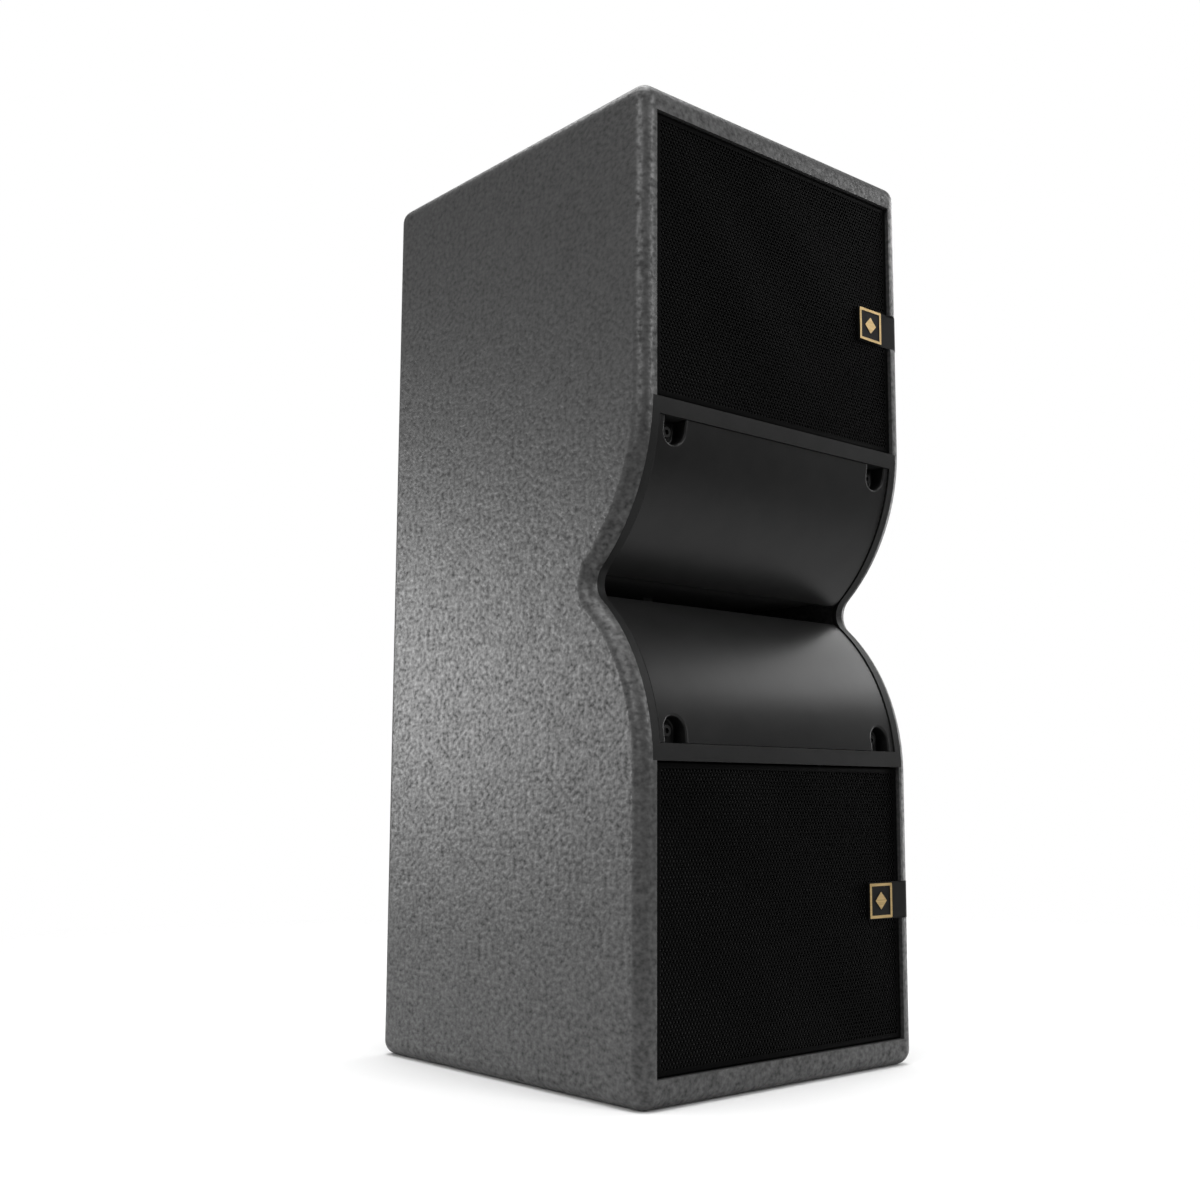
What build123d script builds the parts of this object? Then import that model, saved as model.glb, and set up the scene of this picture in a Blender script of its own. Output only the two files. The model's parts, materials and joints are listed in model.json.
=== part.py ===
"""Two-driver low-frequency loudspeaker cabinet with a pinched waist, millimetres, +Z up.

The front faces -Y and the origin is the centre of the base. Two 12-inch drivers sit behind perforated
grilles on baffles that lean towards the waist. Two curved flares meet at a full-width port slot.
"""

import os
from math import asin, atan, cos, degrees, radians, sin, sqrt

from build123d import *

# ---- driving dimensions ----
WIDTH, DEPTH, HEIGHT = 332.0, 376.0, 834.0
SIDE_PLY = 15.0             # side and rear panels
END_PLY = 24.0              # top and bottom panels
CORNER_R = 14.0             # top and bottom edges, and the corners of the side panels
EDGE_R = 13.0               # the round all along each side panel's outer face

WAIST_HALF = 152.0          # from mid height to where a flare runs out into the front
FLARE_R = 182.0             # radius of the two convex arcs of the waist
VALLEY_R = 18.0             # round between the two arcs, in the side panels and the frame
SLOT_HALF = 9.0             # half height of the port slot

FRAME_SIDE = 11.0           # from the cabinet's side to the waist frame
FRAME_STRIP = 8.0           # width of the frame's two side strips
FRAME_THICK = 5.0
LEDGE_INNER, LEDGE_OUTER = 134.0, 148.0
FLARE_RECESS, FLARE_THICK, FLARE_GAP = 1.0, 4.0, 0.5
FLARE_ROUND = 1.2           # along the flare's two side edges
POCKET_SIDE, POCKET_R, POCKET_TALL, POCKET_DEEP = 37.7, 11.5, 22.0, 15.0
POCKET_WALL = 2.5
POCKET_FLOOR = 3.0
POCKET_ROUND = 2.0          # between the pocket's floor and its wall

GRILLE_RECESS, GRILLE_SHEET, GRILLE_RETURN = 3.0, 1.2, 8.0
GRILLE_GAP = 0.5
FOAM_THICK = 5.0
BADGE, BADGE_THICK, BADGE_X, BADGE_RISE = 31.0, 1.8, 122.0, 268.5
BADGE_BOSS = 11.0
BRACKET_TALL, BRACKET_SHEET, BRACKET_BEND = 33.0, 1.2, 6.0
BRACKET_LEG = 30.0

BAFFLE_PLY = 18.0
BAFFLE_FRONT = 25.0         # depth of the baffle's face at the cabinet's end
BAFFLE_DEEP = 80.0          # depth of the baffle's face at the port shelf
SHELF_PLY, PORT_HALF = 12.0, 15.0
SHELF_FRONT, SHELF_BACK = 71.0, 288.0
DIVIDER_FRONT = 180.0       # deep enough not to show in the slot
DRIVER_RISE = 233.0         # from mid height to each driver's centre

FRONT, BACK = -DEPTH / 2, DEPTH / 2
SIDE = WIDTH / 2
INNER = SIDE - SIDE_PLY
MID = HEIGHT / 2
BASE_IN, TOP_IN = END_PLY, HEIGHT - END_PLY
REAR_IN = BACK - SIDE_PLY
GRILLE_Y = FRONT + GRILLE_RECESS
SHELF_OUT = PORT_HALF + SHELF_PLY

ARC_TURN = asin(WAIST_HALF / (FLARE_R + VALLEY_R))
VALLEY_CENTRE = FLARE_R - (FLARE_R + VALLEY_R) * cos(ARC_TURN)
LEAN = atan((BAFFLE_DEEP - BAFFLE_FRONT) / (MID - SHELF_OUT - END_PLY))

os.makedirs("parts", exist_ok=True)


# ---- helpers ----
def save(name, *solids):
    """Write one node; several solids of one kind share it."""
    found = [s for shape in solids for s in shape.solids()]
    export_step(found[0] if len(found) == 1 else Compound(children=found), f"parts/{name}.step")


def block(x, y, z):
    """A box from its (low, high) spans."""
    spans = (x, y, z)
    return Pos(*[(a + b) / 2 for a, b in spans]) * Box(*[b - a for a, b in spans])


def across(sketch, low, high):
    """Extrude a (Y, Z) sketch along X."""
    return extrude(Plane.YZ.offset(low) * sketch, amount=high - low)


def rod(x, z, radius, y):
    """A cylinder along Y over the span y."""
    return Pos(x, (y[0] + y[1]) / 2, z) * Rot(X=90) * Cylinder(radius, y[1] - y[0])


def turned(sketch):
    """Revolve an (R, Z) sketch about Z."""
    return revolve(Plane.XZ * sketch, Axis.Z)


def ring(r, z):
    return turned(block_2d(r, z))


def block_2d(x, y):
    return Pos((x[0] + x[1]) / 2, (y[0] + y[1]) / 2) * Rectangle(x[1] - x[0], y[1] - y[0])


def polygon(*points):
    return make_face(Polyline(*points, close=True))


def mirrored(shape):
    """The same shape in the other half of the cabinet, about mid height."""
    return mirror(shape, about=Plane.XY.offset(MID))


def both_sides(shape):
    return [shape, mirror(shape, about=Plane.YZ)]


# ---- the waist's outline, in (Y, Z) ----
def waist_arcs(offset):
    """The line of the waist from its top to its bottom, moved into the cabinet by offset."""
    turn = degrees(ARC_TURN)
    arc_y, valley_y = FRONT + FLARE_R, FRONT + VALLEY_CENTRE
    return [
        CenterArc((arc_y, MID + WAIST_HALF), FLARE_R - offset, 180, turn),
        CenterArc((valley_y, MID), VALLEY_R + offset, turn, -2 * turn),
        CenterArc((arc_y, MID - WAIST_HALF), FLARE_R - offset, 180 - turn, turn),
    ]


def waist_band(inner, outer):
    """The strip between two offsets of the waist's line."""
    near, far = waist_arcs(inner), waist_arcs(outer)
    ends = [Line(near[0] @ 0, far[0] @ 0), Line(near[2] @ 1, far[2] @ 1)]
    return make_face(near + far + ends)


def side_outline():
    """A side panel: a rectangle with round corners and the waist in its front edge."""
    low, high, back, front = CORNER_R, HEIGHT - CORNER_R, BACK - CORNER_R, FRONT + CORNER_R
    top, bottom = MID + WAIST_HALF, MID - WAIST_HALF
    return make_face(
        waist_arcs(0)
        + [
            Line((FRONT, bottom), (FRONT, low)),
            CenterArc((front, low), CORNER_R, 180, 90),
            Line((front, 0), (back, 0)),
            CenterArc((back, low), CORNER_R, 270, 90),
            Line((BACK, low), (BACK, high)),
            CenterArc((back, high), CORNER_R, 0, 90),
            Line((back, HEIGHT), (front, HEIGHT)),
            CenterArc((front, high), CORNER_R, 90, 90),
            Line((FRONT, high), (FRONT, top)),
        ]
    )


def flare_depth(rise):
    """Depth of the flare's own surface behind the front, at a height from mid height."""
    radius = FLARE_R - FLARE_RECESS
    return FLARE_R - sqrt(radius**2 - (WAIST_HALF - rise) ** 2)


# ---- waist frame, flares and what holds them ----
def waist_frame():
    """One moulding: two ledges, two strips that follow the waist, and a web behind each ledge."""
    band = waist_band(0, FRAME_THICK)
    wide = SIDE - FRAME_SIDE
    strip = across(band & block_2d((FRONT - 1, 0), (MID - LEDGE_OUTER, MID + LEDGE_OUTER)),
                   wide - FRAME_STRIP, wide)
    ledge = across(band & block_2d((FRONT - 1, 0), (MID + LEDGE_INNER, MID + LEDGE_OUTER)), -wide, wide)
    web_back = FRONT + flare_depth(LEDGE_INNER) + POCKET_DEEP + POCKET_FLOOR
    web = block((FRAME_STRIP - wide, wide - FRAME_STRIP), (FRONT + FRAME_THICK - 1, web_back),
                (MID + LEDGE_INNER, MID + LEDGE_INNER + 3))
    half = ledge + web
    whole = half + mirrored(half)
    for piece in both_sides(strip):
        whole += piece
    return whole


POCKET_X = SIDE - POCKET_SIDE
POCKET_FOOT = LEDGE_INNER - POCKET_TALL + POCKET_R     # height of the centre of the round end
FLOOR_Y = FRONT + flare_depth(POCKET_FOOT) + POCKET_DEEP
FLARE_TOP = MID + LEDGE_INNER - FLARE_GAP


def pocket_prism(radius, y, top):
    """A U along Y, open upwards: a half-round end below a straight part."""
    foot = MID + POCKET_FOOT
    wide = (POCKET_X - radius, POCKET_X + radius)
    return (block(wide, y, (foot, top)) + rod(POCKET_X, foot, radius, y)) & block(wide, y, (MID, top))


def flare():
    """Upper flare: a curved panel with two screw pockets beside the ledge."""
    wide = SIDE - FRAME_SIDE - FRAME_STRIP - FLARE_GAP
    outer = FLARE_R - FLARE_RECESS
    centre = Pos(FRONT + FLARE_R, MID + WAIST_HALF)
    heights = block_2d((FRONT - 1, FRONT + FLARE_R), (MID + SLOT_HALF, FLARE_TOP))
    panel = across((centre * (Circle(outer) - Circle(outer - FLARE_THICK))) & heights, -wide, wide)
    behind = across(centre * Circle(outer), -wide, wide)
    screw_hole = rod(POCKET_X, MID + POCKET_FOOT, 3.2, (FLOOR_Y - 1, FLOOR_Y + POCKET_FLOOR + 1))
    cup = pocket_prism(POCKET_R + POCKET_WALL, (FRONT, FLOOR_Y + POCKET_FLOOR), FLARE_TOP) & behind
    hollow = pocket_prism(POCKET_R, (FRONT - 5, FLOOR_Y), FLARE_TOP + 5)
    for piece in both_sides(cup):
        panel += piece
    for piece in both_sides(hollow):
        panel -= piece
    rims = panel.edges().filter_by(lambda e: e.geom_type == GeomType.CIRCLE and abs(e.radius - outer) < 0.01)
    panel = fillet(rims.filter_by(lambda e: abs(e.center().X) > wide - 0.01), FLARE_ROUND)
    floors = panel.faces().filter_by(lambda f: abs(f.bounding_box().max.Y - FLOOR_Y) < 0.01)
    walls = floors.edges().filter_by(lambda e: e.bounding_box().min.Z < FLARE_TOP - 0.01)
    panel = fillet(walls, POCKET_ROUND)
    for piece in both_sides(screw_hole):
        panel -= piece
    return panel


BLOCK_BACK = FRONT + 50


def flare_block():
    """Wooden block on the side panel that a flare's screw bites into."""
    rise = MID + POCKET_FOOT
    depth = (FLOOR_Y + POCKET_FLOOR, BLOCK_BACK)
    solid = block((POCKET_X - POCKET_R, INNER), depth, (rise - 13, rise + 9))
    return solid - rod(POCKET_X, rise, 3.0, (FLOOR_Y, BLOCK_BACK + 1))


def cap_screw(head_r, head, shank_r, shank):
    """Socket head screw standing on Z=0 with its shank down."""
    hexagon = extrude(RegularPolygon(head_r * 0.5, 6), head * 0.6)
    solid = Pos(Z=head / 2) * Cylinder(head_r, head) + Pos(Z=-shank / 2) * Cylinder(shank_r, shank)
    return fillet(solid.edges().group_by(Axis.Z)[-1], head * 0.15) - Pos(Z=head * 0.4) * hexagon


def flare_screw():
    screw = cap_screw(5.0, 5.0, 2.9, BLOCK_BACK - FLOOR_Y - 4)
    return Pos(POCKET_X, FLOOR_Y, MID + POCKET_FOOT) * Rot(X=90) * screw


# ---- badges and their brackets ----
def bracket_core():
    """What the bracket wraps round: the grille's face and the side panel's edge, in (X, Y)."""
    inner_x = SIDE - BADGE_THICK - BRACKET_SHEET
    bend = BRACKET_BEND - BRACKET_SHEET
    body = block_2d((0, inner_x), (GRILLE_Y, GRILLE_Y + 2 * BRACKET_LEG))
    corner = block_2d((inner_x - bend, inner_x), (GRILLE_Y, GRILLE_Y + bend))
    return body - (corner - Pos(inner_x - bend, GRILLE_Y + bend) * Circle(bend))


def bracket_wrap(sheet):
    """The core grown outwards by the sheet's thickness."""
    outer_x, outer_y = SIDE - BADGE_THICK, GRILLE_Y - sheet
    body = block_2d((0, outer_x), (outer_y, GRILLE_Y + 2 * BRACKET_LEG))
    corner = block_2d((outer_x - BRACKET_BEND, outer_x), (outer_y, outer_y + BRACKET_BEND))
    return body - (corner - Pos(outer_x - BRACKET_BEND, outer_y + BRACKET_BEND) * Circle(BRACKET_BEND))


BADGE_Z = MID + BADGE_RISE
SCREW_BACK = 17.0           # from the front to the bracket's side screw


def bracket():
    """Thin angle that carries the badge, runs round the corner and holds the grille's edge."""
    reach = block_2d((BADGE_X - BADGE / 2, SIDE), (FRONT, FRONT + BRACKET_LEG))
    sheet = extrude((bracket_wrap(BRACKET_SHEET) - bracket_core()) & reach, BRACKET_TALL)
    hole = Pos(SIDE, FRONT + SCREW_BACK, BADGE_Z) * Rot(Y=90) * Cylinder(2.1, 12)
    return Pos(Z=BADGE_Z - BRACKET_TALL / 2) * sheet - hole


def bracket_notch():
    """Cut in the right side panel that the bracket lies in."""
    clear = 0.3
    area = block_2d((INNER - 5, SIDE + 5), (FRONT - 5, FRONT + BRACKET_LEG + clear)) - bracket_core()
    notch = Pos(Z=BADGE_Z - BRACKET_TALL / 2 - clear) * extrude(area, BRACKET_TALL + 2 * clear)
    return notch + Pos(SIDE - 8, FRONT + SCREW_BACK, BADGE_Z) * Rot(Y=90) * Cylinder(2.0, 16)


def badge_screw():
    screw = cap_screw(3.5, BADGE_THICK - 0.1, 1.9, 12)
    return Pos(SIDE - BADGE_THICK, FRONT + SCREW_BACK, BADGE_Z) * Rot(Y=90) * screw


def badge():
    """Square plate with a raised rim and a plain square boss turned on its corner."""
    plate = Box(BADGE, BADGE, BADGE_THICK)
    plate = fillet(plate.edges().filter_by(Axis.Z), 1.0)
    plate -= Pos(Z=BADGE_THICK / 2) * Box(BADGE - 5, BADGE - 5, 1.0)
    plate += Rot(Z=45) * Box(BADGE_BOSS, BADGE_BOSS, BADGE_THICK)
    return Pos(BADGE_X, FRONT + BADGE_THICK / 2, BADGE_Z) * Rot(X=90) * plate


# ---- wooden carcass ----
INSERT_R, THREAD_R, INSERT_LONG = 6.0, 3.4, 13.0
REAR_BOLT_X, REAR_BOLT_RISE = 100.0, 200.0
END_BOLT_X, END_BOLT_Y = 110.0, 120.0
PLATE_Z = 110.0             # height of the connector plate's centre
PLATE_W, PLATE_H, PLATE_THICK = 110.0, 90.0, 2.5
HATCH_W, HATCH_H = 80.0, 60.0
LEDGE_Y = BACK - 7.0        # the face that the connector plate's gasket lies on
GASKET_THICK = 1.0
PLATE_Y = LEDGE_Y + GASKET_THICK
PLATE_FACE = PLATE_Y + PLATE_THICK
PLATE_SCREW_X, PLATE_SCREW_Z = (PLATE_W + HATCH_W) / 4, (PLATE_H + HATCH_H) / 4
PLATE_SCREWS = [(x, z) for x in (-PLATE_SCREW_X, PLATE_SCREW_X) for z in (-PLATE_SCREW_Z, PLATE_SCREW_Z)]


def insert():
    """Threaded insert with its mouth at Z=0."""
    return Pos(Z=-INSERT_LONG / 2) * (Cylinder(INSERT_R, INSERT_LONG) - Cylinder(THREAD_R, INSERT_LONG))


def seat():
    return Pos(Z=-INSERT_LONG / 2) * Cylinder(INSERT_R, INSERT_LONG)


END_BOLTS = [(x, y) for x in (-END_BOLT_X, END_BOLT_X) for y in (-END_BOLT_Y, END_BOLT_Y)]
TOP_SPOTS = [Pos(x, y, HEIGHT) for x, y in END_BOLTS]
BOTTOM_SPOTS = [Pos(x, y, 0) * Rot(X=180) for x, y in END_BOLTS]
REAR_SPOTS = [
    Pos(x, BACK, MID + rise) * Rot(X=-90)
    for x in (-REAR_BOLT_X, REAR_BOLT_X)
    for rise in (-REAR_BOLT_RISE, REAR_BOLT_RISE)
]


def side_panel():
    """Right side panel, its outer edge rounded all the way round."""
    panel = across(side_outline(), INNER, SIDE)
    rim = panel.faces().sort_by(Axis.X)[-1].edges()
    return fillet(rim, EDGE_R)


def end_panel():
    """Top panel, with its front and rear edges rounded."""
    panel = block((-INNER, INNER), (FRONT, BACK), (TOP_IN, HEIGHT))
    return fillet(panel.edges().filter_by(Axis.X).group_by(Axis.Z)[-1], CORNER_R)


def rear_panel():
    panel = block((-INNER, INNER), (REAR_IN, BACK), (BASE_IN, TOP_IN))
    panel -= block((-HATCH_W / 2, HATCH_W / 2), (REAR_IN - 1, BACK + 1),
                   (PLATE_Z - HATCH_H / 2, PLATE_Z + HATCH_H / 2))
    panel -= block((-PLATE_W / 2, PLATE_W / 2), (LEDGE_Y, BACK + 1),
                   (PLATE_Z - PLATE_H / 2, PLATE_Z + PLATE_H / 2))
    for x, z in PLATE_SCREWS:
        panel -= rod(x, PLATE_Z + z, 1.8, (LEDGE_Y - 7, LEDGE_Y))
    for spot in REAR_SPOTS:
        panel -= spot * seat()
    return panel


def baffle_y(rise):
    """Where the baffle's face is, at a height from mid height."""
    return FRONT + BAFFLE_FRONT + (MID - END_PLY - rise) * sin(LEAN) / cos(LEAN)


def driver_plane():
    """Upper driver's own frame: its origin on the baffle's face and +Z out of the front."""
    return Plane(
        origin=(0, baffle_y(DRIVER_RISE), MID + DRIVER_RISE),
        x_dir=(1, 0, 0),
        z_dir=(0, -cos(LEAN), -sin(LEAN)),
    )


DRIVER = driver_plane().location
FLANGE_R, FLANGE_IN, FLANGE_THICK = 150.0, 133.0, 5.0
CUTOUT_R = 139.0
BOLT_R, BOLT_COUNT = 143.8, 8
BOLT_SHANK_R, BOLT_HOLE_R = 3.0, 3.2


def bolt_spots(height):
    return [Rot(Z=360 * (k + 0.5) / BOLT_COUNT) * Pos(BOLT_R, 0, height) for k in range(BOLT_COUNT)]


def baffle():
    """Upper baffle, leaning back towards the waist, with its driver's hole and bolt holes."""
    thick = BAFFLE_PLY / cos(LEAN)
    low, high = baffle_y(SHELF_OUT), baffle_y(MID - END_PLY)
    outline = polygon((low, MID + SHELF_OUT), (low + thick, MID + SHELF_OUT), (high + thick, TOP_IN),
                      (high, TOP_IN))
    board = across(outline, -INNER, INNER)
    through = 3 * BAFFLE_PLY
    board -= DRIVER * Cylinder(CUTOUT_R, through)
    for spot in bolt_spots(0):
        board -= DRIVER * spot * Cylinder(BOLT_HOLE_R, through)
    return board


def shelf():
    """Upper wall of the port."""
    return block((-INNER, INNER), (FRONT + SHELF_FRONT, FRONT + SHELF_BACK),
                 (MID + PORT_HALF, MID + SHELF_OUT))


def brace():
    """Window frame across the upper chamber, behind the driver."""
    border, y = 40.0, (60.0, 75.0)
    low, high = MID + SHELF_OUT, TOP_IN
    window = block((border - INNER, INNER - border), (y[0] - 1, y[1] + 1), (low + border, high - border))
    return block((-INNER, INNER), y, (low, high)) - window


CLEAT = 15.0
MAT_THICK = 20.0


def cleats():
    """Glued battens in the two rear corners."""
    return both_sides(block((INNER - CLEAT, INNER), (REAR_IN - CLEAT, REAR_IN), (BASE_IN, TOP_IN)))


def mats():
    """Felt lining on the rear panel, one piece for each chamber."""
    wide = INNER - CLEAT - 4
    lower_foot = PLATE_Z + PLATE_H / 2 + 15
    spans = ((lower_foot, MID - SHELF_OUT - 10), (MID + SHELF_OUT + 10, TOP_IN - 10))
    return [block((-wide, wide), (REAR_IN - MAT_THICK, REAR_IN), span) for span in spans]


# ---- grilles ----
def grille_span():
    return MID + LEDGE_OUTER + GRILLE_GAP, TOP_IN - GRILLE_GAP


def grille():
    """Upper grille: a sheet with its four edges folded back."""
    low, high = grille_span()
    wide = INNER - GRILLE_GAP
    tray = block((-wide, wide), (GRILLE_Y, GRILLE_Y + GRILLE_RETURN), (low, high))
    hollow = block((GRILLE_SHEET - wide, wide - GRILLE_SHEET),
                   (GRILLE_Y + GRILLE_SHEET, GRILLE_Y + GRILLE_RETURN + 1),
                   (low + GRILLE_SHEET, high - GRILLE_SHEET))
    return tray - hollow


def grille_foam():
    low, high = grille_span()
    inset = GRILLE_SHEET + 0.3
    wide = INNER - GRILLE_GAP - inset
    back = GRILLE_Y + GRILLE_SHEET
    return block((-wide, wide), (back, back + FOAM_THICK), (low + inset, high - inset))


def grille_rail():
    """Batten on the side panel that the grille's folded edge stands on."""
    low, high = grille_span()
    front = GRILLE_Y + GRILLE_RETURN
    return block((INNER - 12, INNER), (front, front + 11), (low, high))


# ---- driver, in its own frame: Z=0 on the baffle's face, +Z out of the front ----
POT_IN, POT_OUT = 84.0, 92.0
PLATFORM_Z, POT_Z, BASKET_FOOT = -63.0, -66.0, -82.0
TOP_PLATE = (-92.0, -82.0)
MAGNET = (-114.0, -92.0)
BACK_PLATE = (-126.0, -114.0)
FORMER_R = 38.6
ROLL_R, ROLL_MID = 10.2, 124.0
CONE_RIM = (108.0, 113.5)
LEG_COUNT = 8
GASKET_TALL = 3.0


def basket():
    """Cast chassis: bolt flange, eight legs and the pot that holds the spider and the magnet."""
    flange = ring((FLANGE_IN, FLANGE_R), (0, FLANGE_THICK))
    pot = ring((POT_IN, POT_OUT), (BASKET_FOOT, PLATFORM_Z)) + ring((46, POT_OUT), (BASKET_FOOT, -76))
    leg_side = polygon((134, 2), (138, 2), (138, -8), (POT_OUT + 1, -81), (POT_IN + 2, -81),
                       (POT_IN + 2, POT_Z), (133.5, -4))
    leg = extrude(Plane.XZ * leg_side, amount=6, both=True)
    whole = flange + pot
    for k in range(LEG_COUNT):
        whole += Rot(Z=360 * (k + 0.5) / LEG_COUNT) * leg
    for spot in bolt_spots(FLANGE_THICK):
        whole -= spot * Cylinder(BOLT_HOLE_R, 4 * FLANGE_THICK)
    return whole


def flange_gasket():
    """Ring on the flange, outside the surround, that the bolts clamp."""
    whole = ring((138.5, 149.2), (FLANGE_THICK, FLANGE_THICK + GASKET_TALL))
    for spot in bolt_spots(FLANGE_THICK):
        whole -= spot * Cylinder(BOLT_HOLE_R, 3 * GASKET_TALL)
    return whole


def driver_bolts():
    screw = cap_screw(4.8, 5.0, BOLT_SHANK_R, 22)
    return [spot * screw for spot in bolt_spots(FLANGE_THICK + GASKET_TALL)]


def back_plate():
    """Back plate with its vented pole."""
    pole = ring((12, 36.5), (BACK_PLATE[0], -80))
    return ring((12, 88), BACK_PLATE) + pole


def surround():
    """Half roll with a flat lip on each side."""
    sheet = 0.8
    half = block_2d((ROLL_MID - 15, ROLL_MID + 15), (FLANGE_THICK, FLANGE_THICK + 15))
    roll = (Pos(ROLL_MID, FLANGE_THICK) * (Circle(ROLL_R) - Circle(ROLL_R - sheet))) & half
    lips = [block_2d(r, (FLANGE_THICK, FLANGE_THICK + sheet)) for r in ((108.5, 114.3), (133.7, 138.0))]
    return turned(roll + lips[0] + lips[1])


def spider():
    """Corrugated disc between the former and the pot's platform."""
    inner, outer, waves, swing, sheet = FORMER_R + 0.2, 88.0, 6, 2.2, 0.8
    flat = 4.0
    steps = 8 * waves
    wave = []
    for k in range(steps + 1):
        r = inner + flat + (outer - inner - 2 * flat) * k / steps
        wave.append((r, PLATFORM_Z + swing * sin(radians(360 * waves * k / steps))))
    line = [(inner, PLATFORM_Z)] + wave + [(outer, PLATFORM_Z)]
    return turned(polygon(*line, *[(r, z + sheet) for r, z in reversed(line)]))


def cone():
    """Curved paper cone with a flat rim that the surround is glued on."""
    neck, sheet = FORMER_R + 0.05, 1.6
    top = FLANGE_THICK
    outer = ThreePointArc((neck, -52), (78, -21), (CONE_RIM[0], top - 4))
    inner = ThreePointArc((neck, -52 + 2 * sheet), (77, -21 + sheet), (CONE_RIM[0], top - 1))
    body = make_face([outer, inner, Line(outer @ 0, inner @ 0), Line(outer @ 1, inner @ 1)])
    return turned(body) + ring(CONE_RIM, (top - 4, top))


def dust_cap():
    """Dome that covers the former, standing on the cone."""
    foot, crown, rim, sheet = -34.5, -18.0, 56.0, 1.2
    rise = crown - foot
    dome_r = (rim**2 + rise**2) / (2 * rise)
    span = degrees(asin(rim / dome_r))
    outer, inner = [CenterArc((0, crown - dome_r), r, 90 - span, span) for r in (dome_r, dome_r - sheet)]
    return turned(make_face([outer, inner, Line(outer @ 0, inner @ 0), Line(outer @ 1, inner @ 1)]))


def voice_coil():
    """Former with the winding round its lower end."""
    return ring((FORMER_R - 1, FORMER_R), (-100, -46)) + ring((FORMER_R, 40), (-100, -74))


def terminals():
    """Block on the pot with two blade terminals."""
    whole = block((POT_OUT, POT_OUT + 11), (-14, 14), (-77, -67))
    for y in (-7, 7):
        whole += block((POT_OUT + 10, POT_OUT + 20), (y - 3.2, y + 3.2), (-73, -72))
    return whole


# ---- rear connectors and inner wiring ----
SOCKET_X = 19.0
SOCKET_R, CORE_R = 10.5, 6.5
SOCKET_TAIL = 150.0         # the barrel's inner end


def connector(x):
    """Round twist-lock socket: square flange, barrel, and a core set back from the mouth."""
    face = PLATE_FACE + 3
    flange = block((x - 14, x + 14), (PLATE_FACE, face), (PLATE_Z - 14, PLATE_Z + 14))
    flange = fillet(flange.edges().filter_by(Axis.Y), 3)
    whole = flange + rod(x, PLATE_Z, 12, (SOCKET_TAIL, PLATE_FACE))
    whole -= rod(x, PLATE_Z, SOCKET_R, (158, face + 1))
    return whole + rod(x, PLATE_Z, CORE_R, (155, face - 8))


def connector_plate():
    plate = block((-PLATE_W / 2 + 0.5, PLATE_W / 2 - 0.5), (PLATE_Y, PLATE_FACE),
                  (PLATE_Z - PLATE_H / 2 + 0.5, PLATE_Z + PLATE_H / 2 - 0.5))
    for x in (-SOCKET_X, SOCKET_X):
        plate -= rod(x, PLATE_Z, 12.1, (PLATE_Y - 1, PLATE_FACE + 1))
    for x, z in PLATE_SCREWS:
        plate -= rod(x, PLATE_Z + z, 2.3, (PLATE_Y - 1, PLATE_FACE + 1))
    return plate


def connector_gasket():
    y = (LEDGE_Y, PLATE_Y)
    sheet = block((1 - PLATE_W / 2, PLATE_W / 2 - 1), y,
                  (PLATE_Z - PLATE_H / 2 + 1, PLATE_Z + PLATE_H / 2 - 1))
    sheet -= block((-HATCH_W / 2 - 1, HATCH_W / 2 + 1), (y[0] - 1, y[1] + 1),
                   (PLATE_Z - HATCH_H / 2 - 1, PLATE_Z + HATCH_H / 2 + 1))
    for x, z in PLATE_SCREWS:
        sheet -= rod(x, PLATE_Z + z, 2.3, (y[0] - 1, y[1] + 1))
    return sheet


def plate_screws():
    screw = cap_screw(4.0, 2.6, 1.8, 10)
    return [Pos(x, PLATE_FACE, PLATE_Z + z) * Rot(X=-90) * screw for x, z in PLATE_SCREWS]


WIRE_R = 3.0


def terminal_end(upper):
    """Just behind a driver's terminals, in the cabinet's frame."""
    point = (DRIVER * Pos(POT_OUT + 17, 0, -77)).position
    return point if upper else Vector(point.X, point.Y, 2 * MID - point.Z)


def wire(points):
    """A round cable through its points, with one arc at each corner as large as its runs allow."""
    runs = [Vector(*b) - Vector(*a) for a, b in zip(points, points[1:])]
    radii = []
    for before, after in zip(runs, runs[1:]):
        half_turn = radians(before.get_angle(after)) / 2
        radii.append(0.45 * min(before.length, after.length) * cos(half_turn) / sin(half_turn))
    path = FilletPolyline(*points, radius=radii)
    start = Plane(origin=path @ 0, z_dir=path % 0)
    print("wire length", round(path.length), "radii", [round(r) for r in radii])
    return sweep(start * Circle(WIRE_R), path=path)


def wiring():
    """Cables from the sockets to the drivers, clipped along the cabinet."""
    upper, lower = terminal_end(True), terminal_end(False)
    short = [(SOCKET_X, SOCKET_TAIL, PLATE_Z), (SOCKET_X, 112, PLATE_Z), (46, 72, 122),
             (82, 44, 136), (104, 12, 160), (lower.X, lower.Y, lower.Z)]
    long = [(-SOCKET_X, SOCKET_TAIL, PLATE_Z), (-SOCKET_X, 122, PLATE_Z), (-36, 106, 136),
            (-58, 104, 184), (-66, 112, 240), (-66, 122, 300), (-62, 127, 360), (-54, 126, 420),
            (-38, 122, 480), (-12, 118, 536), (24, 108, 584), (60, 90, 622), (88, 64, 654),
            (102, 30, 676), (upper.X, upper.Y, upper.Z)]
    return wire(short), wire(long)


# ---- build and save every node ----
frame = waist_frame()
right = side_panel() - frame
left = mirror(side_panel(), about=Plane.YZ) - frame
notch = bracket_notch()
save("left_side_panel", left)
save("right_side_panel", right - notch - mirrored(notch))

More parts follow.
